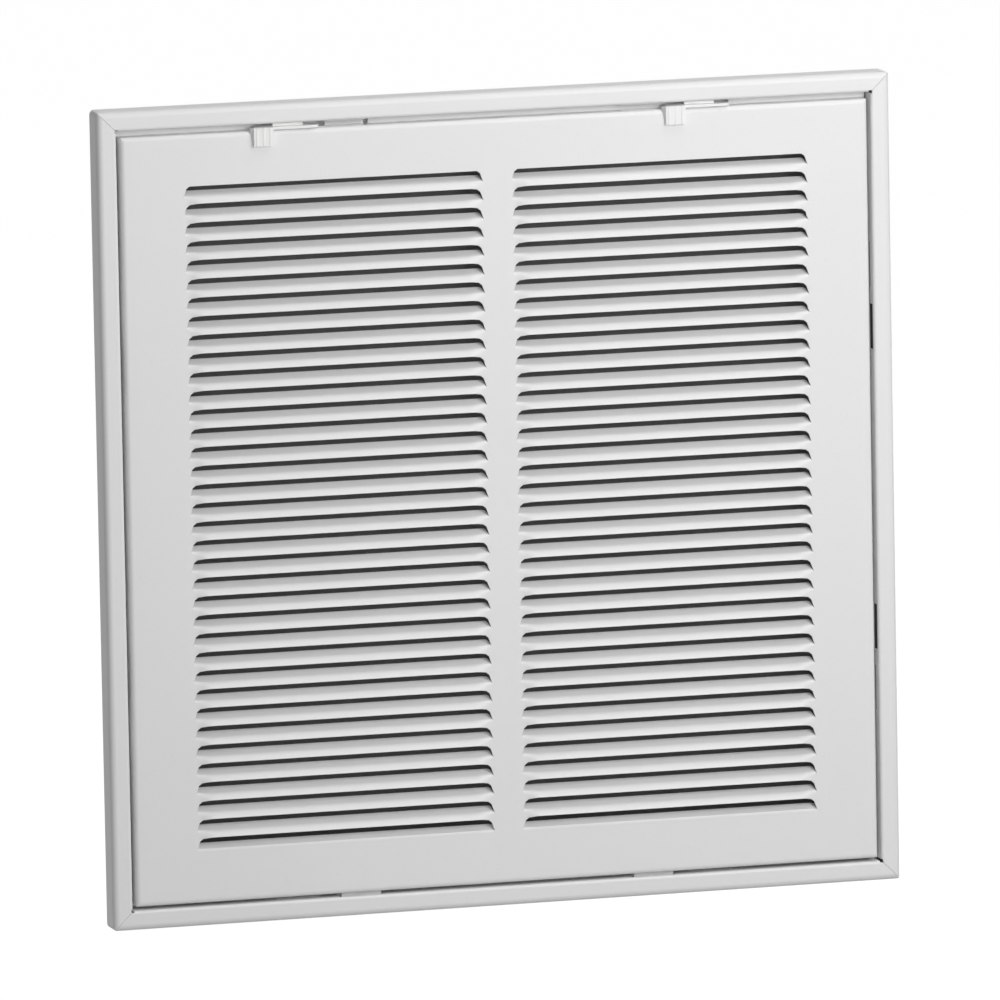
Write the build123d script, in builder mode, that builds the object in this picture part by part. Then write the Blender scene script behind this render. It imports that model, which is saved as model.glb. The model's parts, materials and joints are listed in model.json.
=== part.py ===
"""Return air filter grille: a mitred steel frame with a collar for the filter, a louvred face
hinged along its bottom edge, and two slide latches along its top edge.

Millimetres. +Z is up, the front looks towards -Y, and the wall plane is Y = 0. The origin is the
middle of the duct opening on the wall plane.
"""

import os
from math import atan2, cos, degrees, floor, radians, sin

from build123d import *

os.makedirs("parts", exist_ok=True)

# Duct opening in the wall, and how far the frame covers the wall round it
duct_width = 304.8
duct_height = 304.8
wall_cover = 33.34

# Folded rails
rail_sheet = 0.8
front_depth = 12.7
border_width = 9.0
outer_bend = 3.0
inner_bend = 1.4
fold_radius = 1.2
corner_round = 2.2
mitre_gap = 0.2
corner_relief = 1.6

# Collar that enters the duct and holds the filter
duct_clearance = 1.2
collar_depth = 31.0
rear_lip = 9.5

# Windows punched in the inner walls of the rails
near_window = 58.5
far_window = 87.0
window_length = 21.0
near_window_setback = 2.2
far_window_setback = 5.3

# Screw holes in the ledges of the two side rails
screw_hole_radius = 2.4
screw_height = 120.0

# Face sheet
face_sheet = 0.8
face_flange = 7.5
face_bend = 2.0
face_corner = 2.6
side_gap = 2.1
top_gap = 2.9
bottom_gap = 1.9

# Louvres
louvre_pitch = 25.4 / 3
slot_height = 5.0
slot_draft = 0.85
flap_play = 0.1
mullion = 15.0
side_margin = 29.25
least_row_margin = 20.0
blade_length = 8.3
lip_angle = 57.0
tip_angle = 18.0
twist_length = 6.0

# Hinge along the bottom edge
hinge_place = 69.0
axis_setback = 4.5
axis_height = 4.0
open_angle = 100.0
pin_radius = 1.5
pin_clearance = 0.05
pin_head = 0.8
pin_head_rim = 0.9
ear_gap = 19.0
ear_radius = 2.5
ear_clearance = 0.03
hinge_side_play = 0.3
bracket_sheet = 1.0
tongue_width = 18.5
tongue_setback = 0.2
tongue_engagement = 0.6
base_margin = 3.0

# Corner plates, welded across the mitres
corner_plate = 16.5
corner_plate_play = 0.5
corner_plate_cut = 8.0

# Slide latches
latch_place = 96.4
latch_travel = 22.0
latch_end_play = 0.45
latch_play = 0.25
latch_slot_width = 3.4
latch_slot_setback = 2.2
neck_length = 28.0
blade_left = 15.8
blade_right = 13.7
latch_blade = 1.2
latch_blade_depth = 7.4
blade_end_round = 3.0
latch_proud = 0.8
latch_foot = 1.2
latch_foot_reach = 0.8
lug_length = 14.0
lug_thickness = 2.0
keeper_clearance = 0.3
thumb_left = 18.9
thumb_width = 11.0
thumb_height = 8.4
thumb_thickness = 1.6
thumb_ribs = 3
thumb_rib_radius = 0.7

# Places worked out from the sizes above
half_width = duct_width / 2 + wall_cover
half_height = duct_height / 2 + wall_cover
wall_x = half_width - border_width
wall_z = half_height - border_width
ledge_width = wall_cover - border_width + duct_clearance
front_y = -front_depth
ledge_front = -rail_sheet
face_right = wall_x - side_gap
face_top = wall_z - top_gap
face_bottom = -wall_z + bottom_gap
face_rear = front_y + face_flange
axis_y = front_y + axis_setback
axis_z = face_bottom + axis_height
near_window_front = front_y + near_window_setback
far_window_front = front_y + far_window_setback
window_rear = face_rear + keeper_clearance + rail_sheet
screw_line = wall_x - ledge_width / 2
blade_bottom = face_top + latch_play
blade_top = blade_bottom + latch_blade
slot_front = front_y + latch_slot_setback
slot_rear = slot_front + latch_slot_width
keeper_rear = near_window_front + rail_sheet


def rail_plane(run, reach):
    """A side of the frame: local x along the rail, local y into the wall, local z outwards."""
    return Plane(origin=(0, 0, 0), x_dir=run, z_dir=reach)


def ledge_front_plane(side, height):
    """The plane that faces the room at a height in front of the wall, x along the rail."""
    return Plane(origin=side.y_dir * -height, x_dir=side.x_dir, z_dir=-side.y_dir)


top_side = rail_plane((1, 0, 0), (0, 0, 1))
bottom_side = rail_plane((-1, 0, 0), (0, 0, -1))
left_side = rail_plane((0, 0, 1), (-1, 0, 0))
right_side = rail_plane((0, 0, -1), (1, 0, 0))


def rail_section(reach):
    """The folded strip: outer side, border, inner wall, ledge, collar and rear lip."""
    half = rail_sheet / 2
    wall = reach - border_width
    collar = reach - wall_cover - duct_clearance
    points = [
        (0, reach - half),
        (front_y + half, reach - half),
        (front_y + half, wall + half),
        (-half, wall + half),
        (-half, collar - half),
        (collar_depth - half, collar - half),
        (collar_depth - half, collar - rear_lip),
    ]
    bends = [outer_bend, inner_bend, fold_radius, fold_radius, fold_radius]
    FilletPolyline(*points, radius=[bend - half for bend in bends])


def window_boxes(side, wall, inner, front, depth):
    """Two windows through the inner wall, one on each side of the middle."""
    for place in (-inner - window_length / 2, inner + window_length / 2):
        with Locations(side.location * Pos(place, front + depth / 2, wall)):
            Box(window_length, depth, 4 * rail_sheet, mode=Mode.SUBTRACT)


def folded_rail(side, half_run, half_reach, name):
    """One mitred rail with its windows, and a square relief notch where its mitred folds meet."""
    wall = half_reach - border_width
    band = wall_cover + duct_clearance + rear_lip + 1
    end = half_run - mitre_gap / 2
    with BuildPart() as rail:
        with BuildSketch(Plane(origin=(0, 0, 0), x_dir=side.y_dir, z_dir=side.x_dir)):
            with BuildLine():
                rail_section(half_reach)
            trace(line_width=rail_sheet)
        extrude(amount=half_run, both=True)
        with BuildSketch(ledge_front_plane(side, -collar_depth - 1)):
            RectangleRounded(2 * half_run, 2 * half_reach, corner_round)
            with BuildLine():
                Polyline(
                    (end + 1, half_reach + 1),
                    (end - band, half_reach - band),
                    (-end + band, half_reach - band),
                    (-end - 1, half_reach + 1),
                    close=True,
                )
            make_face(mode=Mode.INTERSECT)
            with Locations((border_width - half_run, wall), (half_run - border_width, wall)):
                Rectangle(corner_relief, corner_relief, mode=Mode.SUBTRACT)
        extrude(amount=collar_depth + front_depth + 2, mode=Mode.INTERSECT)
        far_depth = window_rear - far_window_front
        window_boxes(side, wall, far_window, far_window_front, far_depth)
        near_depth = window_rear - near_window_front
        window_boxes(side, wall, near_window, near_window_front, near_depth)
    rail.part.label = name
    return rail


# Top rail: a keeper lip hangs from the front edge of each near window, and a stop lip from its rear edge
plain_top = folded_rail(top_side, half_width, half_height, "top_rail")
lip_length = window_length - 3.0
keeper_bottom = blade_top + keeper_clearance
stop_bottom = face_top - face_sheet / 2
with BuildPart() as top_rail:
    add(plain_top.part)
    for place in (-near_window - window_length / 2, near_window + window_length / 2):
        with Locations((place, near_window_front + rail_sheet / 2, (wall_z + rail_sheet + keeper_bottom) / 2)):
            Box(lip_length, rail_sheet, wall_z + rail_sheet - keeper_bottom)
        with Locations((place, window_rear - rail_sheet / 2, (wall_z + rail_sheet + stop_bottom) / 2)):
            Box(lip_length, rail_sheet, wall_z + rail_sheet - stop_bottom)
top_rail.part.label = "top_rail"

bottom_rail = folded_rail(bottom_side, half_width, half_height, "bottom_rail")


def side_rail(side, x, name):
    """A side rail, with a hole for a wall screw near each end of its ledge."""
    plain = folded_rail(side, half_height, half_width, name)
    with BuildPart() as rail:
        add(plain.part)
        with BuildSketch(Plane.XZ):
            with Locations((x, -screw_height), (x, screw_height)):
                Circle(screw_hole_radius)
        extrude(amount=2 * rail_sheet, both=True, mode=Mode.SUBTRACT)
    rail.part.label = name
    return rail


left_rail = side_rail(left_side, -screw_line, "left_rail")
right_rail = side_rail(right_side, screw_line, "right_rail")

# Face: louvre rows and columns
rows = floor((face_top - face_bottom - 2 * least_row_margin + louvre_pitch - slot_height) / louvre_pitch)
bar_height = louvre_pitch - slot_height
field_height = rows * louvre_pitch - bar_height
face_middle = (face_top + face_bottom) / 2
lowest_fold = face_middle - field_height / 2
fold_heights = [lowest_fold + row * louvre_pitch for row in range(rows)]
slot_width = face_right - side_margin - mullion / 2
column_places = [-mullion / 2 - slot_width / 2, mullion / 2 + slot_width / 2]

# Blade section: flats along an arc from the steep front lip to the shallow rear tip, which crosses the
# sheet's middle plane at the fold. Places on it are measured along the arc from the lip.
blade_radius = blade_length / radians(lip_angle - tip_angle)
sheet_middle = front_y + face_sheet / 2


def arc_point(along, outside):
    """A point beside the blade's middle line, with the fold at zero: (into the duct, up)."""
    here = radians(lip_angle) - along / blade_radius
    fold = radians(lip_angle) - bar_height / blade_radius
    depth = blade_radius * (sin(fold) - sin(here)) - outside * sin(here)
    rise = blade_radius * (cos(here) - cos(fold)) + outside * cos(here)
    return sheet_middle + depth, rise


def blade_profile(*places):
    """The sheet's section through places on the blade's arc."""
    half = face_sheet / 2
    outside = [arc_point(along, half) for along in places]
    inside = [arc_point(along, -half) for along in reversed(places)]
    Polyline(*outside, *inside, close=True)


slot_half = slot_width / 2 + slot_draft
flap_half = slot_half - flap_play
flap_top_half = slot_width / 2 - slot_draft
flap_middle = (bar_height + blade_length) / 2
twist_start = slot_half - twist_length


def flap_ends(base_half):
    """What lies beyond a flap's two slanted free ends, seen from the front, with the fold at zero."""
    for side in (-1, 1):
        Polygon(
            (side * base_half, 0),
            (side * flap_top_half, slot_height),
            (side * (slot_half + 1), slot_height),
            (side * (slot_half + 1), 0),
            align=None,
        )


# Flap alone: bent back from the lower edge of its slot, free along its top and both slanted ends
with BuildPart() as flap:
    with BuildSketch(Plane.YZ.offset(-flap_half)):
        with BuildLine():
            blade_profile(bar_height, flap_middle, blade_length)
        make_face()
    extrude(amount=2 * flap_half)
    with BuildSketch(Plane.XZ):
        flap_ends(flap_half)
    extrude(amount=front_depth + face_sheet, mode=Mode.SUBTRACT)

# Louvre: a flap with the bar below it, which twists forward between its two flat ends
bent_section = [arc_point(along, face_sheet / 2) for along in (0, bar_height, flap_middle, blade_length)]
bent_section += [arc_point(along, -face_sheet / 2) for along in (blade_length, flap_middle, bar_height, 0)]
flat_section = [(front_y, -bar_height), (front_y, 0)] + bent_section[2:6]
flat_section += [(front_y + face_sheet, -face_sheet / 4), (front_y + face_sheet, -bar_height)]


def twisted_end(side):
    """The solid between the flat and the bent section at one end, each face of it flat."""
    flat = [Vector(side * slot_half, y, z) for y, z in flat_section]
    bent = [Vector(side * twist_start, y, z) for y, z in bent_section]
    faces = [Face(Wire.make_polygon(flat)), Face(Wire.make_polygon(bent))]
    for corner in range(len(flat)):
        after = (corner + 1) % len(flat)
        faces.append(Face(Wire.make_polygon([flat[corner], flat[after], bent[corner]])))
        faces.append(Face(Wire.make_polygon([flat[after], bent[after], bent[corner]])))
    return Solid(Shell(faces))


with BuildPart() as louvre:
    with BuildSketch(Plane.YZ.offset(-twist_start)):
        with BuildLine():
            Polyline(*bent_section, close=True)
        make_face()
    extrude(amount=2 * twist_start)
    add(twisted_end(-1))
    add(twisted_end(1))
    with BuildSketch(Plane.XZ):
        flap_ends(slot_half)
    extrude(amount=front_depth + face_sheet, mode=Mode.SUBTRACT)

# Places on the face for the latches and hinges
latch_places = (-latch_place, latch_place)
hinge_places = (-hinge_place, hinge_place)
notch_front = axis_y - tongue_setback
tongue_bottom = -wall_z - tongue_engagement
slot_span = neck_length + latch_travel + 2 * latch_end_play
slot_centre = latch_place - latch_travel / 2

with BuildPart() as face_panel:
    with BuildSketch(Plane.XZ.offset(-face_rear)):
        with Locations((0, face_middle)):
            RectangleRounded(2 * face_right, face_top - face_bottom, face_corner)
    extrude(amount=face_flange)
    fillet(face_panel.faces().sort_by(Axis.Y)[0].edges(), radius=face_bend)
    offset(amount=-face_sheet, openings=face_panel.faces().sort_by(Axis.Y)[-1])
    # slots and the openings for the twisted bars
    with BuildSketch(Plane.XZ):
        with Locations(*[(place, face_middle) for place in column_places]):
            Rectangle(slot_width, field_height)
        with Locations(*[(place, height) for place in column_places for height in fold_heights]):
            Trapezoid(
                2 * slot_half,
                slot_height,
                degrees(atan2(slot_height, slot_draft)),
                align=(Align.CENTER, Align.MIN),
            )
        with Locations(*[(place, height) for place in column_places for height in fold_heights[1:]]):
            Rectangle(2 * slot_half, bar_height, align=(Align.CENTER, Align.MAX))
    extrude(amount=front_depth + face_sheet, mode=Mode.SUBTRACT)
    # latch slots in the top flange
    with Locations(*[(place, (slot_front + slot_rear) / 2, face_top) for place in (-slot_centre, slot_centre)]):
        Box(slot_span, latch_slot_width, 4 * face_sheet, mode=Mode.SUBTRACT)
    # notches, tongues and ears of the hinges in the bottom flange
    for place in hinge_places:
        with Locations((place, (notch_front + face_rear + 1) / 2, face_bottom)):
            Box(ear_gap, face_rear + 1 - notch_front, 4 * face_sheet, mode=Mode.SUBTRACT)
        with Locations((place, notch_front, tongue_bottom)):
            Box(
                tongue_width,
                face_sheet,
                face_bottom + face_sheet - tongue_bottom,
                align=(Align.CENTER, Align.MAX, Align.MIN),
            )
        with BuildSketch(Plane.YZ.offset(place - ear_gap / 2 - face_sheet)):
            with Locations((axis_y, face_bottom + face_sheet / 2)):
                Rectangle(2 * ear_radius, axis_height - face_sheet / 2, align=(Align.CENTER, Align.MIN))
            with Locations((axis_y, axis_z)):
                Circle(ear_radius)
                Circle(pin_radius + ear_clearance, mode=Mode.SUBTRACT)
        extrude(amount=face_sheet)
        with BuildSketch(Plane.YZ.offset(place + ear_gap / 2)):
            with Locations((axis_y, face_bottom + face_sheet / 2)):
                Rectangle(2 * ear_radius, axis_height - face_sheet / 2, align=(Align.CENTER, Align.MIN))
            with Locations((axis_y, axis_z)):
                Circle(ear_radius)
                Circle(pin_radius + ear_clearance, mode=Mode.SUBTRACT)
        extrude(amount=face_sheet)
    # louvres
    with Locations(*[(place, 0, height) for place in column_places for height in fold_heights[1:]]):
        add(louvre.part)
    with Locations(*[(place, 0, lowest_fold) for place in column_places]):
        add(flap.part)
face_panel.part.label = "face_panel"


def hinge_pin(place, name):
    """A pin through both ears, with a head at each end."""
    half_length = ear_gap / 2 + face_sheet
    with BuildPart() as pin:
        with BuildSketch(Plane.YZ.offset(place - half_length)):
            with Locations((axis_y, axis_z)):
                Circle(pin_radius)
        extrude(amount=2 * half_length)
        for end in (place - half_length - pin_head, place + half_length):
            with BuildSketch(Plane.YZ.offset(end)):
                with Locations((axis_y, axis_z)):
                    Circle(pin_radius + pin_head_rim)
            extrude(amount=pin_head)
    pin.part.label = name
    return pin


left_hinge_pin = hinge_pin(-hinge_place, "left_hinge_pin")
right_hinge_pin = hinge_pin(hinge_place, "right_hinge_pin")

# Hinge bracket: a strap curled round the pin, straight back to the ledge and welded up it
barrel_inner = pin_radius + pin_clearance
barrel_outer = barrel_inner + bracket_sheet
bracket_length = ear_gap - 2 * hinge_side_play
base_head = -wall_z + ledge_width - base_margin


def hinge_bracket(place, name):
    """One bracket, with its barrel on the hinge axis and its base on the ledge."""
    middle = barrel_inner + bracket_sheet / 2
    with BuildPart() as bracket:
        with BuildSketch(Plane.YZ.offset(place - bracket_length / 2)):
            with BuildLine():
                FilletPolyline(
                    (axis_y, axis_z + middle),
                    (ledge_front - bracket_sheet / 2, axis_z + middle),
                    (ledge_front - bracket_sheet / 2, base_head),
                    radius=bracket_sheet,
                )
            trace(line_width=bracket_sheet)
            with Locations((axis_y, axis_z)):
                Circle(barrel_outer)
                Circle(barrel_inner, mode=Mode.SUBTRACT)
        extrude(amount=bracket_length)
    bracket.part.label = name
    return bracket


left_hinge_bracket = hinge_bracket(-hinge_place, "left_hinge_bracket")
right_hinge_bracket = hinge_bracket(hinge_place, "right_hinge_bracket")


def corner_plate_part(side_x, side_z, name):
    """A flat plate in a corner of the ledge, with its inner corner cut off at 45 degrees."""
    near_x = side_x * (wall_x - corner_plate_play)
    near_z = side_z * (wall_z - corner_plate_play)
    far_x = side_x * (wall_x - corner_plate)
    far_z = side_z * (wall_z - corner_plate)
    with BuildPart() as plate:
        with BuildSketch(Plane.XZ.offset(-ledge_front)):
            with BuildLine():
                Polyline(
                    (near_x, near_z),
                    (far_x, near_z),
                    (far_x, far_z + side_z * corner_plate_cut),
                    (far_x + side_x * corner_plate_cut, far_z),
                    (near_x, far_z),
                    close=True,
                )
            make_face()
        extrude(amount=bracket_sheet)
    plate.part.label = name
    return plate


top_left_corner_plate = corner_plate_part(-1, 1, "top_left_corner_plate")
top_right_corner_plate = corner_plate_part(1, 1, "top_right_corner_plate")
bottom_left_corner_plate = corner_plate_part(-1, -1, "bottom_left_corner_plate")
bottom_right_corner_plate = corner_plate_part(1, -1, "bottom_right_corner_plate")


def slide_latch(place, name):
    """A latch: blade on the flange, neck through its slot, foot under it, lug and thumb tab."""
    neck_centre = (slot_front + slot_rear) / 2
    neck_width = latch_slot_width - 2 * latch_play
    foot_top = face_top - face_sheet - latch_play
    foot_depth = latch_slot_width + 2 * latch_foot_reach
    blade_front = front_y - latch_proud
    tab_front = front_y - keeper_clearance - thumb_thickness
    up = (Align.CENTER, Align.CENTER, Align.MIN)
    with BuildPart() as latch:
        with BuildSketch(Plane.XY.offset(blade_bottom)) as outline:
            with Locations((place - blade_left, blade_front)):
                Rectangle(blade_left + blade_right, latch_blade_depth, align=(Align.MIN, Align.MIN))
            fillet(outline.vertices().group_by(Axis.X)[-1], radius=blade_end_round)
        extrude(amount=latch_blade)
        with Locations((place, neck_centre, foot_top - latch_foot)):
            Box(neck_length, foot_depth, latch_foot, align=up)
            Box(neck_length, neck_width, blade_bottom + latch_blade - foot_top + latch_foot, align=up)
        with Locations((place, keeper_rear + keeper_clearance, blade_bottom)):
            Box(
                lug_length,
                lug_thickness,
                wall_z - keeper_clearance - blade_bottom,
                align=(Align.CENTER, Align.MIN, Align.MIN),
            )
        with Locations((place - thumb_left, tab_front, blade_top)):
            Box(thumb_width, thumb_thickness, thumb_height, align=(Align.MIN, Align.MIN, Align.MAX))
        with BuildSketch(Plane.XY.offset(blade_top - thumb_height)):
            for rib in range(thumb_ribs):
                with Locations((place - thumb_left + (rib + 0.5) * thumb_width / thumb_ribs, tab_front)):
                    Circle(thumb_rib_radius)
        extrude(amount=thumb_height)
    latch.part.label = name
    return latch


left_latch = slide_latch(-latch_place, "left_latch")
right_latch = slide_latch(latch_place, "right_latch")

export_step(top_rail.part, "parts/top_rail.step")
export_step(bottom_rail.part, "parts/bottom_rail.step")
export_step(left_rail.part, "parts/left_rail.step")
export_step(right_rail.part, "parts/right_rail.step")
export_step(top_left_corner_plate.part, "parts/top_left_corner_plate.step")
export_step(top_right_corner_plate.part, "parts/top_right_corner_plate.step")
export_step(bottom_left_corner_plate.part, "parts/bottom_left_corner_plate.step")
export_step(bottom_right_corner_plate.part, "parts/bottom_right_corner_plate.step")
export_step(face_panel.part, "parts/face_panel.step")
export_step(left_latch.part, "parts/left_latch.step")
export_step(right_latch.part, "parts/right_latch.step")
export_step(left_hinge_bracket.part, "parts/left_hinge_bracket.step")
export_step(right_hinge_bracket.part, "parts/right_hinge_bracket.step")
export_step(left_hinge_pin.part, "parts/left_hinge_pin.step")
export_step(right_hinge_pin.part, "parts/right_hinge_pin.step")
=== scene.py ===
"""Looks for the return air filter grille: powder coated steel, plastic latches, plain studio."""

import json
from math import cos, pi, radians, sin

import bmesh
import bpy
from mathutils import Matrix, Vector


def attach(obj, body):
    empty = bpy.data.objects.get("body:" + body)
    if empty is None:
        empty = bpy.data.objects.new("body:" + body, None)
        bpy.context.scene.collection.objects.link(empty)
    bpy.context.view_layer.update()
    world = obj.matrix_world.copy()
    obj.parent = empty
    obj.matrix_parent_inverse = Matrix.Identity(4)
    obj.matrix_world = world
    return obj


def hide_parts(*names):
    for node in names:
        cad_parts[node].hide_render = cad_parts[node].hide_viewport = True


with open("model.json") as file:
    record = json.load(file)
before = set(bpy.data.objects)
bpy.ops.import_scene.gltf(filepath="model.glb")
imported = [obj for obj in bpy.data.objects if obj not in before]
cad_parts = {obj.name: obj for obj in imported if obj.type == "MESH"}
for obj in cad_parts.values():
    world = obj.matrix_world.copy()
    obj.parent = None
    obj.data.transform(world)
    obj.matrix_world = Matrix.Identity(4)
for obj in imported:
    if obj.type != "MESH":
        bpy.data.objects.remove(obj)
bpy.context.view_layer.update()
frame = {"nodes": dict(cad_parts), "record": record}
scene = bpy.context.scene

# Metres in a millimetre; the sizes below are in millimetres unless a comment says otherwise
MM = 0.001

# How close counts as touching, and how close vertices are merged, on the sheet and on a solid
TOUCH = 0.001
MERGE = 0.01
MERGE_SOLID = 0.002

# Camera, fitted to the edges in the photograph
CAMERA_YAW = radians(-15.989)
CAMERA_PITCH = radians(8.38)
CAMERA_ROLL = radians(-1.045)
CAMERA_AWAY = 7000
CAMERA_RIGHT = 2.06
CAMERA_DOWN = 1.58
SENSOR = 36
LENS = 15.472 * SENSOR

# Face sheet, close to the solids
FRONT = -12.7
SHEET = 0.8
FACE_HALF = 174.95
FACE_TOP = 173.84
FACE_LOW = -175.15
FACE_REAR = -5.2
EDGE_BEND = 2.0
BEND_STEPS = 5
CORNER = 0.7
CORNER_ZONE = 3
RIM_LINE = 0.8

# Louvres: rows up the face, slots with slanted ends and cut corners, and the lines over the twists
PITCH = 25.4 / 3
ROWS = 36
SLOT = 5.0
BAR = PITCH - SLOT
LOWEST_FOLD = -0.25 - (ROWS * PITCH - BAR) / 2
DRAFT = 0.85
SLOT_HALF = 69.795
COLUMN_MIDDLE = 76.445
SLOT_CORNER = 1.1
SLOT_CORNER_SLOPE = 1.3
SLOT_CORNER_REACH = 4.3
TWIST = 6.0
BAR_STEPS = 4
FOLD_HALF = SLOT_HALF - 0.1
END_LINES = (-0.8, 0, 0.15, 1.7, 2.9, 4.2, 5.6, 7.7)
LOWEST_FOLD_SHIFT = (0, 0.2, -0.05)

# Blades: they leave the lip steeply, bend at the fold and run straight to the tip
BLADE = 8.3
BLADE_BEND = 3.8
LIP_ANGLE = radians(76)
TIP_ANGLE = radians(28)
FLAP_BEND_STEPS = 2
FLAP_STEPS = 6
FLAP_ROUND = 1.2

# Latch slots in the top flange; hinge notches, ears and tongues in the bottom flange
LATCH_SLOT = (59.95, 110.85)
LATCH_SLOT_DEPTH = (-10.5, -7.1)
HINGE_PLACE = 69.0
EAR_GAP = 19.0
EAR_RADIUS = 2.5
EAR_STEPS = 24
PIN_HOLE = 1.53
PIN_PLACE = (-8.2, -170.84)
TONGUE_FRONT = -9.2
TONGUE_HALF = 9.25
TONGUE_LOW = -177.34

# Edges that are eased: their width, and how sharp an edge has to be, in degrees
PLATE_EDGE = 0.12
FACE_EDGE = 0.22
RAIL_EDGE = 0.12
LATCH_EDGE = 0.35
SHEET_EDGE_ANGLE = 60
SOLID_EDGE_ANGLE = 50

# Angles in degrees over which an edge is shaded sharp, and under which faces count as one flat
SHEET_SHARP = 42
RAIL_SHARP = 30
LATCH_SHARP = 60
ONE_FLAT = 0.5

# The latches' thumb tabs in the solids, and how they are reshaped
TAB_BELOW = 174.05
TAB_AHEAD = -13.55
TAB_MIDDLE_LOW = 170
TAB_REAR = -13.0
RIB_ROOT = -14.6
SAME_DEPTH = 0.02
TAB_WIDTH_SHARE = 0.84
TAB_OFF_FACE = 0.06
RIB_SHARE = 0.3

# Keeper lips of the top rail: where they lie in depth and height, and where their lower edge goes
KEEPER_DEPTH = (-10.7, -9.5)
KEEPER_LOW = 175
KEEPER_EDGE = 176.4

# Stop strips under the top rail
STOP_SPANS = ((-176, -112), (-58, 79), (111.5, 176))
STOP_SHEET = 0.8
STOP_HEIGHT = 3.7
STOP_PLACE = (-4.6, 174.85)
STOP_CORNER = 1.2

# Tabs under the mitres of the border
FRAME_HALF = 185.74
MITRE_TAB = 6.5
MITRE_TAB_SHEET = 0.5
MITRE_TAB_CORNER = 2.0
MITRE_TAB_PLAY = 0.1
MITRE_TAB_DEPTH = 0.3

# Studio, in metres: each lamp has its name, its place, its size and its power in watts
FLOOR_HALF = 20
FLOOR_HEIGHT = -0.24
# Cards of painted shade: a dark sheet behind the louvres and one behind the seams round the face, in
# place of the shade inside the frame
SHADE_CARD_HALF = 0.15
SHADE_CARD_DEPTH = 0.0012
SEAM_SHADE_CARD_HALF = 0.1845
SEAM_SHADE_CARD_DEPTH = 0.0014
LAMPS = (
    ("front_lamp", (0.42, -0.95, 0.43), 0.5, 6.0),
    ("fill_lamp", (-0.7, -2.3, 0.35), 0.9, 8),
    ("top_lamp", (0.25, -0.35, 1.0), 0.5, 2.2),
)


# ---- camera ----


def place_camera():
    """A long lens seen from the left and a little above, as in the photograph."""
    yaw, pitch, roll = CAMERA_YAW, CAMERA_PITCH, CAMERA_ROLL
    back = Vector((sin(yaw) * cos(pitch), -cos(yaw) * cos(pitch), sin(pitch)))
    level_right = Vector((cos(yaw), sin(yaw), 0))
    level_up = level_right.cross(-back)
    right = level_right * cos(roll) + level_up * sin(roll)
    up = level_up * cos(roll) - level_right * sin(roll)
    data = bpy.data.cameras.new("camera")
    data.sensor_width = SENSOR
    data.lens = LENS
    data.clip_end = 60
    camera = bpy.data.objects.new("camera", data)
    turn = Matrix((right, up, back)).transposed().to_4x4()
    spot = (back * CAMERA_AWAY + level_right * CAMERA_RIGHT - level_up * CAMERA_DOWN) * MM
    camera.matrix_world = Matrix.Translation(spot) @ turn
    scene.collection.objects.link(camera)
    scene.camera = camera


# ---- materials ----


def new_material(name):
    material = bpy.data.materials.new(name)
    material.use_nodes = True
    nodes = material.node_tree.nodes
    return material, nodes, material.node_tree.links, nodes["Principled BSDF"]


def noise(tree, scale, detail=2):
    """A noise texture on the object's own coordinates."""
    place = tree.nodes.new("ShaderNodeTexCoord")
    texture = tree.nodes.new("ShaderNodeTexNoise")
    texture.inputs["Scale"].default_value = scale
    texture.inputs["Detail"].default_value = detail
    tree.links.new(place.outputs["Object"], texture.inputs["Vector"])
    return texture.outputs["Fac"]


def tone_between(tree, amount, low, high):
    """A ramp between two tones, each given as its position and its colour."""
    ramp = tree.nodes.new("ShaderNodeValToRGB")
    for element, (position, colour) in zip(ramp.color_ramp.elements, (low, high)):
        element.position = position
        element.color = (*colour, 1)
    tree.links.new(amount, ramp.inputs["Fac"])
    return ramp.outputs["Color"]


def fine_bump(tree, shader, height, strength, distance):
    bump = tree.nodes.new("ShaderNodeBump")
    bump.inputs["Strength"].default_value = strength
    bump.inputs["Distance"].default_value = distance
    tree.links.new(height, bump.inputs["Height"])
    tree.links.new(bump.outputs["Normal"], shader.inputs["Normal"])


def powder_coat():
    """White powder coat: fine orange peel, faint tone drift and a few dust specks."""
    material, nodes, links, shader = new_material("white_powder_coat")
    tree = material.node_tree
    shader.inputs["Roughness"].default_value = 0.42
    shader.inputs["Specular IOR Level"].default_value = 0.45
    dull, clean = (0.848, 0.848, 0.846), (0.86, 0.86, 0.86)
    tone = tone_between(tree, noise(tree, 9, 4), (0.35, dull), (0.65, clean))
    dust = nodes.new("ShaderNodeMapRange")
    dust.inputs["From Min"].default_value = 0.62
    dust.inputs["From Max"].default_value = 0.8
    dust.inputs["To Max"].default_value = 0.1
    links.new(noise(tree, 900, 1), dust.inputs["Value"])
    mix = nodes.new("ShaderNodeMix")
    mix.data_type = "RGBA"
    mix.inputs["B"].default_value = (0.62, 0.61, 0.59, 1)
    links.new(dust.outputs["Result"], mix.inputs["Factor"])
    links.new(tone, mix.inputs["A"])
    links.new(mix.outputs["Result"], shader.inputs["Base Color"])
    fine_bump(tree, shader, noise(tree, 650), 0.05, 0.0002)
    return material


def moulded_plastic():
    """White moulded plastic: slightly glossy, with a fine etched surface."""
    material, _, links, shader = new_material("latch_plastic")
    tree = material.node_tree
    shader.inputs["Roughness"].default_value = 0.32
    shader.inputs["Specular IOR Level"].default_value = 0.5
    dull, clean = (0.9, 0.9, 0.89), (0.93, 0.93, 0.92)
    tone = tone_between(tree, noise(tree, 60), (0.4, dull), (0.7, clean))
    links.new(tone, shader.inputs["Base Color"])
    fine_bump(tree, shader, noise(tree, 2500), 0.08, 0.0001)
    return material


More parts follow.
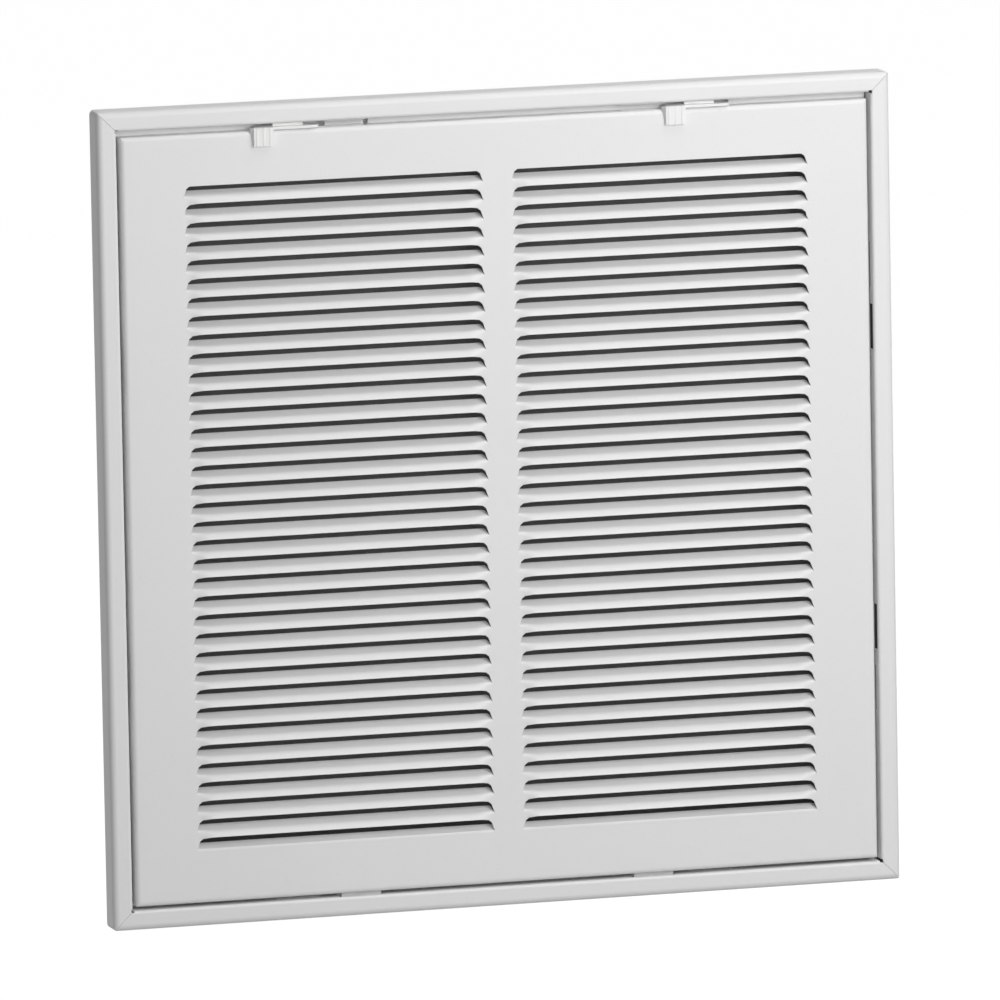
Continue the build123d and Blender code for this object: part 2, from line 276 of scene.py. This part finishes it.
def zinc_plate():
    """Zinc plated steel: blotchy spangle, which also varies the gloss."""
    material, nodes, links, shader = new_material("zinc_plate")
    shader.inputs["Metallic"].default_value = 1
    place = nodes.new("ShaderNodeTexCoord")
    spangle = nodes.new("ShaderNodeTexVoronoi")
    spangle.inputs["Scale"].default_value = 350
    links.new(place.outputs["Object"], spangle.inputs["Vector"])
    dark, bright = (0.52, 0.53, 0.55), (0.68, 0.69, 0.7)
    tone = tone_between(material.node_tree, spangle.outputs["Distance"], (0, dark), (1, bright))
    links.new(tone, shader.inputs["Base Color"])
    rough = nodes.new("ShaderNodeMapRange")
    rough.inputs["To Min"].default_value = 0.32
    rough.inputs["To Max"].default_value = 0.5
    links.new(spangle.outputs["Distance"], rough.inputs["Value"])
    links.new(rough.outputs["Result"], shader.inputs["Roughness"])
    return material


def painted_shade_card(name, clear_for_light):
    """Painted shade: a sheet that is dark where it is looked at from the front, clear from behind, and
    more or less clear for light, in place of the shade inside the frame.
    """
    material, nodes, links, shader = new_material(name)
    # The dark grey is painted shade
    shader.inputs["Base Color"].default_value = (0.12, 0.12, 0.12, 1)
    shader.inputs["Roughness"].default_value = 1
    shader.inputs["Specular IOR Level"].default_value = 0
    side = nodes.new("ShaderNodeNewGeometry")
    path = nodes.new("ShaderNodeLightPath")
    clear = nodes.new("ShaderNodeBsdfTransparent")
    mix = nodes.new("ShaderNodeMixShader")
    unseen = nodes.new("ShaderNodeMapRange")
    unseen.inputs["To Min"].default_value = clear_for_light
    unseen.inputs["To Max"].default_value = 0
    links.new(path.outputs["Is Camera Ray"], unseen.inputs["Value"])
    either = nodes.new("ShaderNodeMath")
    either.operation = "MAXIMUM"
    links.new(side.outputs["Backfacing"], either.inputs[0])
    links.new(unseen.outputs["Result"], either.inputs[1])
    links.new(either.outputs["Value"], mix.inputs["Fac"])
    links.new(shader.outputs["BSDF"], mix.inputs[1])
    links.new(clear.outputs["BSDF"], mix.inputs[2])
    links.new(mix.outputs["Shader"], nodes["Material Output"].inputs["Surface"])
    return material


# ---- meshes and pieces ----


def as_data(mesh, name):
    """Writes a bmesh to mesh data and frees it."""
    data = bpy.data.meshes.new(name)
    mesh.to_mesh(data)
    mesh.free()
    return data


def draw_out(mesh, edges):
    """Extrudes edges, and gives the new edges and the new vertices."""
    grown = bmesh.ops.extrude_edge_only(mesh, edges=edges)["geom"]
    new_edges = [item for item in grown if isinstance(item, bmesh.types.BMEdge)]
    new_verts = [item for item in grown if isinstance(item, bmesh.types.BMVert)]
    return new_edges, new_verts


def cut_faces(mesh, faces, place, normal):
    """Cuts the given faces along a plane, in the same order each run."""
    edges = dict.fromkeys(edge for face in faces for edge in face.edges)
    verts = dict.fromkeys(vert for face in faces for vert in face.verts)
    bmesh.ops.bisect_plane(
        mesh, geom=[*verts, *edges, *faces], dist=TOUCH, plane_co=place, plane_no=normal
    )


def round_off(mesh, geom, offset, segments, affect):
    bmesh.ops.bevel(
        mesh,
        geom=geom,
        offset=offset,
        offset_type="OFFSET",
        segments=segments,
        profile=0.5,
        affect=affect,
        material=-1,
    )


def ease_edges(piece, width, segments, angle):
    """Eases the edges that are sharper than an angle in degrees."""
    rounds = piece.modifiers.new("rounds", "BEVEL")
    rounds.width = width * MM
    rounds.segments = segments
    rounds.limit_method = "ANGLE"
    rounds.angle_limit = radians(angle)


def settle(piece):
    """Puts the modifiers' result into the mesh."""
    shaped = piece.evaluated_get(bpy.context.evaluated_depsgraph_get())
    piece.data = bpy.data.meshes.new_from_object(shaped)
    piece.data.name = piece.name
    piece.modifiers.clear()


def shade_evenly(piece, keep):
    """Smooth bends beside flats that stay flat; edges over the angle in degrees stay sharp."""
    for face in piece.data.polygons:
        face.use_smooth = True
    piece.data.set_sharp_from_angle(angle=radians(keep))
    even = piece.modifiers.new("even", "WEIGHTED_NORMAL")
    even.keep_sharp = True
    settle(piece)


def piece_from(mesh, name, sheet=0.0, edge=PLATE_EDGE, rounds=1):
    """Makes an object of a mesh in millimetres; a skin gets its thickness behind it."""
    bmesh.ops.scale(mesh, vec=(MM, MM, MM), verts=mesh.verts)
    piece = bpy.data.objects.new(name, as_data(mesh, name))
    scene.collection.objects.link(piece)
    if sheet:
        wall = piece.modifiers.new("wall", "SOLIDIFY")
        wall.thickness = sheet * MM
        wall.offset = -1
        wall.use_even_offset = True
    ease_edges(piece, edge, rounds, SHEET_EDGE_ANGLE)
    settle(piece)
    shade_evenly(piece, SHEET_SHARP)
    return piece


def finished_copy(node, name, edge, segments, keep=RAIL_SHARP, reshape=None):
    """A merged copy of a solid with smooth bends and made edges."""
    mesh = bmesh.new()
    mesh.from_mesh(node.data)
    bmesh.ops.remove_doubles(mesh, verts=mesh.verts, dist=MERGE_SOLID * MM)
    if reshape:
        reshape(mesh)
    bmesh.ops.dissolve_limit(
        mesh, angle_limit=radians(ONE_FLAT), verts=mesh.verts, edges=mesh.edges
    )
    piece = bpy.data.objects.new(name, as_data(mesh, name))
    scene.collection.objects.link(piece)
    ease_edges(piece, edge, segments, SOLID_EDGE_ANGLE)
    settle(piece)
    shade_evenly(piece, keep)
    return piece


# ---- face ----


def blade_point(along):
    """The blade's outer side at a place along it from the lip: depth, and rise from the fold."""
    radius = BLADE_BEND / (LIP_ANGLE - TIP_ANGLE)
    fold = LIP_ANGLE - BAR / radius
    straight = max(0.0, along - BLADE_BEND)
    here = LIP_ANGLE - (along - straight) / radius
    depth = radius * (sin(fold) - sin(here)) + straight * cos(here) - SHEET / 2 * sin(here)
    rise = radius * (cos(here) - cos(fold)) + straight * sin(here) + SHEET / 2 * cos(here)
    return FRONT + SHEET / 2 + depth, rise


def ease(share):
    share = max(0.0, min(1.0, share))
    return share * share * (3 - 2 * share)


def in_column(x):
    """A place across the face: its reach from its louvre column's middle, that middle and the side."""
    middle = COLUMN_MIDDLE if x > 0 else -COLUMN_MIDDLE
    return abs(x - middle), middle, 1 if x > middle else -1


def upright_lines():
    """Where the sheet's upright lines stand: close together over the twists, wide elsewhere."""
    lines = []
    for inset in (EDGE_BEND, EDGE_BEND + RIM_LINE):
        lines += [inset - FACE_HALF, FACE_HALF - inset]
    for middle in (-COLUMN_MIDDLE, COLUMN_MIDDLE):
        for inset in END_LINES:
            lines += [middle - SLOT_HALF + inset, middle + SLOT_HALF - inset]
    return sorted(lines)


def flat_strip(heights):
    """Flat sheet right across the face, with level lines at the given heights."""
    mesh = bmesh.new()
    lines = upright_lines()
    across, up = len(lines) - 1, len(heights) - 1
    bmesh.ops.create_grid(mesh, x_segments=across, y_segments=up, size=1)
    for vert in mesh.verts:
        column = round((vert.co.x + 1) / 2 * across)
        row = round((vert.co.y + 1) / 2 * up)
        vert.co = Vector((lines[column], FRONT, heights[row]))
    return mesh


def slot_end_faces(mesh, end, side, reach):
    """The faces of a slot that lie within reach of one of its ends."""
    faces = []
    for face in mesh.faces:
        spot = face.calc_center_median()
        if spot.z > 0 and 0 < side * (end - spot.x) < reach:
            faces.append(face)
    return faces


def open_slots(mesh):
    """Takes out the slots, whose ends slant inwards towards the top and whose upper corners are cut."""
    corner_start = 2 * DRAFT + SLOT_CORNER
    for middle in (-COLUMN_MIDDLE, COLUMN_MIDDLE):
        for side in (-1, 1):
            end = middle + side * SLOT_HALF
            slant = slot_end_faces(mesh, end, side, 2 * DRAFT)
            cut_faces(mesh, slant, (end, FRONT, 0), (side * SLOT, 0, 2 * DRAFT))
            corner = slot_end_faces(mesh, end, side, SLOT_CORNER_REACH)
            place = (end - side * corner_start, FRONT, SLOT)
            cut_faces(mesh, corner, place, (side, 0, SLOT_CORNER_SLOPE))
    opening = []
    for face in mesh.faces:
        spot = face.calc_center_median()
        reach = in_column(spot.x)[0]
        past_corner = reach - SLOT_HALF + corner_start + SLOT_CORNER_SLOPE * (spot.z - SLOT) > 0
        if spot.z > 0 and reach < SLOT_HALF - 2 * DRAFT * spot.z / SLOT and not past_corner:
            opening.append(face)
    bmesh.ops.delete(mesh, geom=opening, context="FACES")


def draw_flaps(mesh):
    """Draws the flaps out of their folds along the blade, with slanted ends and rounded corners."""
    edges = []
    for edge in mesh.edges:
        ends = [vert.co for vert in edge.verts]
        if all(abs(end.z) < TOUCH and in_column(end.x)[0] < FOLD_HALF for end in ends):
            edges.append(edge)
    fold = list(dict.fromkeys(vert for edge in edges for vert in edge.verts))
    plain = SLOT_HALF - END_LINES[-1]
    start = SLOT_HALF - END_LINES[2]
    reached = start
    for step in range(1, FLAP_STEPS + 1):
        edges, verts = draw_out(mesh, edges)
        if step > FLAP_BEND_STEPS:
            share = sin((step - FLAP_BEND_STEPS) / (FLAP_STEPS - FLAP_BEND_STEPS) * pi / 2)
            along = BLADE_BEND + (BLADE - BLADE_BEND) * share
        else:
            along = BAR + (BLADE_BEND - BAR) * step / FLAP_BEND_STEPS
        depth, rise = blade_point(along)
        into_round = max(0.0, FLAP_ROUND - (BLADE - along))
        inwards = FLAP_ROUND - (FLAP_ROUND**2 - into_round**2) ** 0.5
        before = reached
        reached = start - 2 * DRAFT * rise / SLOT - inwards
        for vert in verts:
            reach, middle, side = in_column(vert.co.x)
            if reach > plain:
                reach = plain + (reach - plain) * (reached - plain) / (before - plain)
            vert.co = Vector((middle + side * reach, depth, rise))
    return fold


def twist_bars(mesh):
    """Turns the bars forward between their flat ends; the lower edge starts further in."""
    for vert in mesh.verts:
        if vert.co.z > TOUCH or vert.co.y > FRONT + TOUCH:
            continue
        drop = -vert.co.z / BAR
        start = SLOT_HALF - 2 * DRAFT * drop
        turn = ease((start - in_column(vert.co.x)[0]) / TWIST)
        depth, rise = blade_point(BAR + vert.co.z)
        vert.co.y += (depth - FRONT) * turn
        vert.co.z += (rise - vert.co.z) * turn


def louvre_row(with_bar):
    """One row across both columns, with its fold at zero height."""
    heights = [-SHEET]
    if with_bar:
        heights = [-BAR + BAR * step / BAR_STEPS for step in range(BAR_STEPS)]
    mesh = flat_strip([*heights, 0, SLOT])
    open_slots(mesh)
    fold = draw_flaps(mesh)
    if with_bar:
        twist_bars(mesh)
    else:
        bmesh.ops.translate(mesh, vec=LOWEST_FOLD_SHIFT, verts=fold)
    return as_data(mesh, "row")


def add_at(whole, part, height):
    """Adds a copy of a row to the sheet at a height."""
    first = len(whole.verts)
    whole.from_mesh(part)
    whole.verts.ensure_lookup_table()
    bmesh.ops.translate(whole, vec=(0, 0, height), verts=whole.verts[first:])


def turn_back_edges(mesh):
    """Eases the sheet's corners and draws its rim round a bend into the flanges."""
    inside = FACE_HALF - CORNER_ZONE
    corners = [vert for vert in mesh.verts if len(vert.link_edges) == 2 and abs(vert.co.x) > inside]
    round_off(mesh, corners, CORNER, 3, "VERTICES")
    wide = FACE_HALF - EDGE_BEND - CORNER
    high = FACE_TOP - EDGE_BEND - CORNER
    low = FACE_LOW + EDGE_BEND + CORNER
    outward = mesh.verts.layers.float_vector.new("outward")
    edges = []
    for edge in mesh.edges:
        if not edge.is_boundary:
            continue
        ends = [vert.co for vert in edge.verts]
        if all(abs(end.x) > wide - MERGE or not low < end.z < high for end in ends):
            edges.append(edge)
    for vert in dict.fromkeys(vert for edge in edges for vert in edge.verts):
        sideways = abs(vert.co.x) > wide - TOUCH
        upright = vert.co.z > high - TOUCH or vert.co.z < low + TOUCH
        right = 1 if vert.co.x > 0 else -1
        up = 1 if vert.co.z > 0 else -1
        vert[outward] = Vector((sideways * right, 0, upright * up))
    stages = []
    for step in range(1, BEND_STEPS + 1):
        turn = step / BEND_STEPS * pi / 2
        stages.append((EDGE_BEND * sin(turn), FRONT + EDGE_BEND * (1 - cos(turn))))
    for depth in (LATCH_SLOT_DEPTH[0], TONGUE_FRONT, LATCH_SLOT_DEPTH[1], FACE_REAR):
        stages.append((EDGE_BEND, depth))
    before = 0
    for reach, depth in stages:
        edges, verts = draw_out(mesh, edges)
        for vert in verts:
            vert.co += vert[outward] * (reach - before)
            vert.co.y = depth
        before = reach
    mesh.verts.layers.float_vector.remove(outward)


def cut_across(mesh, x, near):
    """A new upright line across the faces that the test picks."""
    faces = [face for face in mesh.faces if near(face.calc_center_median())]
    cut_faces(mesh, faces, (x, 0, 0), (1, 0, 0))


def cut_flange(mesh):
    """Latch slots in the top flange; notches and their tongues in the bottom flange."""
    inner, outer = LATCH_SLOT
    front, rear = LATCH_SLOT_DEPTH

    def on_top(spot):
        return spot.z > FACE_TOP - MERGE

    def below(spot):
        return spot.z < FACE_LOW + MERGE

    for x in (-outer, -inner, inner, outer):
        cut_across(mesh, x, on_top)
    slots = []
    for face in mesh.faces:
        spot = face.calc_center_median()
        if on_top(spot) and inner < abs(spot.x) < outer and front < spot.y < rear:
            slots.append(face)
    bmesh.ops.delete(mesh, geom=slots, context="FACES")
    for place in (-HINGE_PLACE, HINGE_PLACE):
        for reach in (-EAR_GAP / 2, -TONGUE_HALF, TONGUE_HALF, EAR_GAP / 2):
            cut_across(mesh, place + reach, below)
    notches = []
    for face in mesh.faces:
        spot = face.calc_center_median()
        if below(spot) and abs(abs(spot.x) - HINGE_PLACE) < EAR_GAP / 2 and spot.y > TONGUE_FRONT:
            notches.append(face)
    bmesh.ops.delete(mesh, geom=notches, context="FACES")
    edges = []
    for edge in mesh.edges:
        middle = (edge.verts[0].co + edge.verts[1].co) / 2
        if edge.is_boundary and below(middle) and abs(middle.y - TONGUE_FRONT) < MERGE:
            if abs(abs(middle.x) - HINGE_PLACE) < TONGUE_HALF:
                edges.append(edge)
    for vert in draw_out(mesh, edges)[1]:
        vert.co.z = TONGUE_LOW


def hinge_ear(mesh, x, facing):
    """An ear on the bottom flange: a ring round the pin on a stem, as one skin that faces the tongue."""
    verts, rings = [], []
    for radius in (EAR_RADIUS, PIN_HOLE):
        circle = bmesh.ops.create_circle(mesh, cap_ends=False, radius=radius, segments=EAR_STEPS)
        ring = circle["verts"]
        verts += ring
        rings.append(dict.fromkeys(edge for vert in ring for edge in vert.link_edges))
    bmesh.ops.bridge_loops(mesh, edges=[*rings[0], *rings[1]])
    lower = [edge for edge in rings[0] if all(vert.co.y < TOUCH for vert in edge.verts)]
    depth, height = PIN_PLACE
    for vert in draw_out(mesh, lower)[1]:
        vert.co.y = FACE_LOW + SHEET / 2 - height
        verts.append(vert)
    for vert in verts:
        vert.co = Vector((x, depth + vert.co.x, height + vert.co.y))
    faces = list(dict.fromkeys(face for vert in verts for face in vert.link_faces))
    bmesh.ops.recalc_face_normals(mesh, faces=faces)
    if faces[0].normal.x * facing < 0:
        bmesh.ops.reverse_faces(mesh, faces=faces)


def louvred_face():
    """The whole face sheet with its louvres, flanges and hinge ears, in sheet of even thickness."""
    mesh = bmesh.new()
    add_at(mesh, louvre_row(with_bar=False), LOWEST_FOLD)
    bar_row = louvre_row(with_bar=True)
    for row in range(1, ROWS):
        add_at(mesh, bar_row, LOWEST_FOLD + row * PITCH)
    low_edge, high_edge = FACE_LOW + EDGE_BEND, FACE_TOP - EDGE_BEND
    top_slot = LOWEST_FOLD + (ROWS - 1) * PITCH + SLOT
    low_strip = flat_strip([low_edge, low_edge + RIM_LINE, LOWEST_FOLD - SHEET])
    high_strip = flat_strip([top_slot, high_edge - RIM_LINE, high_edge])
    mesh.from_mesh(as_data(low_strip, "low_strip"))
    mesh.from_mesh(as_data(high_strip, "high_strip"))
    bmesh.ops.remove_doubles(mesh, verts=mesh.verts, dist=MERGE)
    turn_back_edges(mesh)
    cut_flange(mesh)
    bmesh.ops.recalc_face_normals(mesh, faces=mesh.faces)
    front = max(mesh.faces, key=lambda face: face.calc_area())
    if front.normal.y > 0:
        bmesh.ops.reverse_faces(mesh, faces=mesh.faces)
    for place in (-HINGE_PLACE, HINGE_PLACE):
        hinge_ear(mesh, place - EAR_GAP / 2, 1)
        hinge_ear(mesh, place + EAR_GAP / 2, -1)
    return piece_from(mesh, "louvred_face", SHEET, edge=FACE_EDGE, rounds=2)


# ---- latches, keepers, stops and mitre tabs ----


def settle_tab(mesh):
    """Brings a latch's thumb tab close to the face, a little narrower and with shallow ribs."""
    tab = [vert for vert in mesh.verts if vert.co.z < TAB_BELOW * MM or vert.co.y < TAB_AHEAD * MM]
    inner = max(vert.co.x for vert in tab if vert.co.z < TAB_MIDDLE_LOW * MM)
    for vert in tab:
        if vert.co.x < inner:
            vert.co.x = inner - (inner - vert.co.x) * TAB_WIDTH_SHARE
    for vert in mesh.verts:
        depth = vert.co.y / MM
        if abs(depth - TAB_REAR) < SAME_DEPTH:
            vert.co.y = (FRONT - TAB_OFF_FACE) * MM
        elif depth < RIB_ROOT - SAME_DEPTH:
            vert.co.y = (RIB_ROOT + (depth - RIB_ROOT) * RIB_SHARE) * MM


def shorten_keepers(mesh):
    """Shortens the keeper lips over the latches to what shows in the seam."""
    front, rear = KEEPER_DEPTH
    for vert in mesh.verts:
        if front * MM < vert.co.y < rear * MM and KEEPER_LOW * MM < vert.co.z < KEEPER_EDGE * MM:
            vert.co.z = KEEPER_EDGE * MM


def stop_strips():
    """What the closed face rests against: strips down from the top rail, left out at the latches."""
    mesh = bmesh.new()
    depth, height = STOP_PLACE
    for start, end in STOP_SPANS:
        strip = bmesh.ops.create_cube(mesh, size=1)["verts"]
        bmesh.ops.scale(mesh, vec=(end - start, STOP_SHEET, STOP_HEIGHT), verts=strip)
        bmesh.ops.translate(mesh, vec=((start + end) / 2, depth, height), verts=strip)
    ends = []
    for edge in mesh.edges:
        first, second = (vert.co for vert in edge.verts)
        if abs(first.y - second.y) > STOP_SHEET / 2 and first.z < height:
            ends.append(edge)
    round_off(mesh, ends, STOP_CORNER, 3, "EDGES")
    return mesh


def mitre_tab(side_x, side_z):
    """The tab under a mitre: a small plate close behind the border, which shows in the seam."""
    mesh = bmesh.new()
    bmesh.ops.create_cube(mesh, size=1)
    bmesh.ops.scale(mesh, vec=(MITRE_TAB, MITRE_TAB_SHEET, MITRE_TAB), verts=mesh.verts)
    corner = []
    for edge in mesh.edges:
        if all(vert.co.x * side_x < 0 and vert.co.z * side_z < 0 for vert in edge.verts):
            corner.append(edge)
    round_off(mesh, corner, MITRE_TAB_CORNER, 1, "EDGES")
    middle = FRAME_HALF - SHEET - MITRE_TAB_PLAY - MITRE_TAB / 2
    place = (side_x * middle, FRONT + SHEET + MITRE_TAB_DEPTH, side_z * middle)
    bmesh.ops.translate(mesh, vec=place, verts=mesh.verts)
    return mesh


# ---- studio ----


def lamp(name, place, size, power):
    """A square lamp that points at the grille."""
    data = bpy.data.lights.new(name, "AREA")
    data.shape = "SQUARE"
    data.size = size
    data.energy = power
    square = bpy.data.objects.new(name, data)
    square.location = place
    square.rotation_euler = (-Vector(place)).to_track_quat("-Z", "Y").to_euler()
    scene.collection.objects.link(square)


def seen_directly(tree):
    """One for what the camera sees, also in a reflection or through glass, and zero for plain light."""
    path = tree.nodes.new("ShaderNodeLightPath")
    total = path.outputs["Is Camera Ray"]
    for ray in ("Is Glossy Ray", "Is Transmission Ray"):
        more = tree.nodes.new("ShaderNodeMath")
        more.operation = "MAXIMUM"
        tree.links.new(total, more.inputs[0])
        tree.links.new(path.outputs[ray], more.inputs[1])
        total = more.outputs["Value"]
    return total


def pale_floor():
    """Pale floor that shows white where it is lit and keeps a light shadow."""
    material, nodes, links, shader = new_material("pale_floor")
    shader.inputs["Base Color"].default_value = (0.5, 0.5, 0.5, 1)
    shader.inputs["Roughness"].default_value = 1
    shader.inputs["Specular IOR Level"].default_value = 0
    glow = nodes.new("ShaderNodeEmission")
    glow.inputs["Strength"].default_value = 0.9
    both = nodes.new("ShaderNodeAddShader")
    mix = nodes.new("ShaderNodeMixShader")
    links.new(shader.outputs["BSDF"], both.inputs[0])
    links.new(glow.outputs["Emission"], both.inputs[1])
    links.new(seen_directly(material.node_tree), mix.inputs["Fac"])
    links.new(shader.outputs["BSDF"], mix.inputs[1])
    links.new(both.outputs["Shader"], mix.inputs[2])
    links.new(mix.outputs["Shader"], nodes["Material Output"].inputs["Surface"])
    return material


def stage_plane(name, size, turn, place, material):
    mesh = bmesh.new()
    bmesh.ops.create_grid(mesh, x_segments=1, y_segments=1, size=size)
    bmesh.ops.rotate(mesh, cent=(0, 0, 0), matrix=Matrix.Rotation(turn, 3, "X"), verts=mesh.verts)
    bmesh.ops.translate(mesh, vec=place, verts=mesh.verts)
    plane = bpy.data.objects.new(name, as_data(mesh, name))
    plane.data.materials.append(material)
    scene.collection.objects.link(plane)


def studio_world():
    """Low even light, behind which the camera sees white."""
    world = bpy.data.worlds.new("studio")
    scene.world = world
    world.use_nodes = True
    nodes, links = world.node_tree.nodes, world.node_tree.links
    fill = nodes["Background"]
    fill.inputs["Color"].default_value = (1, 1, 1, 1)
    fill.inputs["Strength"].default_value = 0.18
    white = nodes.new("ShaderNodeBackground")
    white.inputs["Color"].default_value = (1, 1, 1, 1)
    white.inputs["Strength"].default_value = 1
    mix = nodes.new("ShaderNodeMixShader")
    links.new(seen_directly(world.node_tree), mix.inputs["Fac"])
    links.new(fill.outputs["Background"], mix.inputs[1])
    links.new(white.outputs["Background"], mix.inputs[2])
    links.new(mix.outputs["Shader"], nodes["World Output"].inputs["Surface"])


# ---- the grille ----

place_camera()
scene.view_settings.view_transform = "Standard"

white_coat = powder_coat()
plastic = moulded_plastic()
finish = {"painted_steel": white_coat, "white_plastic": plastic, "zinc_steel": zinc_plate()}
slots = {part["node"]: part["material_slot"] for part in frame["record"]["subparts"]}
for name, node in frame["nodes"].items():
    node.data.materials.clear()
    node.data.materials.append(finish[slots[name]])

face = louvred_face()
face.data.materials.append(white_coat)
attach(face, "face")
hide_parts("face_panel")

tabs = bmesh.new()
for side_x in (-1, 1):
    for side_z in (-1, 1):
        tabs.from_mesh(as_data(mitre_tab(side_x, side_z), "tab"))
mitre_tabs = piece_from(tabs, "mitre_tabs")
mitre_tabs.data.materials.append(white_coat)
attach(mitre_tabs, "frame")

stops = piece_from(stop_strips(), "stop_strips")
stops.data.materials.append(white_coat)
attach(stops, "frame")

for name in ("top_rail", "bottom_rail", "left_rail", "right_rail"):
    reshape = shorten_keepers if name == "top_rail" else None
    rail = finished_copy(frame["nodes"][name], f"{name}_coated", RAIL_EDGE, 1, reshape=reshape)
    rail.data.materials.append(white_coat)
    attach(rail, "frame")
    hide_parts(name)
for name in ("left_latch", "right_latch"):
    solid = frame["nodes"][name]
    latch = finished_copy(
        solid, f"{name}_moulding", LATCH_EDGE, 3, keep=LATCH_SHARP, reshape=settle_tab
    )
    latch.data.materials.append(plastic)
    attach(latch, name)
    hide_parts(name)

upright = radians(90)
# Painted shade: the middle card darkens the slots and partly blocks light, and the seam card darkens the
# seams for the camera only
middle_shade_card, edge_shade_card = painted_shade_card("painted_shade_card", 0.45), painted_shade_card("seam_shade_card", 1)
stage_plane("pale_floor", FLOOR_HALF, 0, (0, 0, FLOOR_HEIGHT), pale_floor())
stage_plane("painted_shade_card", SHADE_CARD_HALF, upright, (0, SHADE_CARD_DEPTH, 0), middle_shade_card)
stage_plane("seam_shade_card", SEAM_SHADE_CARD_HALF, upright, (0, SEAM_SHADE_CARD_DEPTH, 0), edge_shade_card)
studio_world()
for name, place, size, power in LAMPS:
    lamp(name, place, size, power)
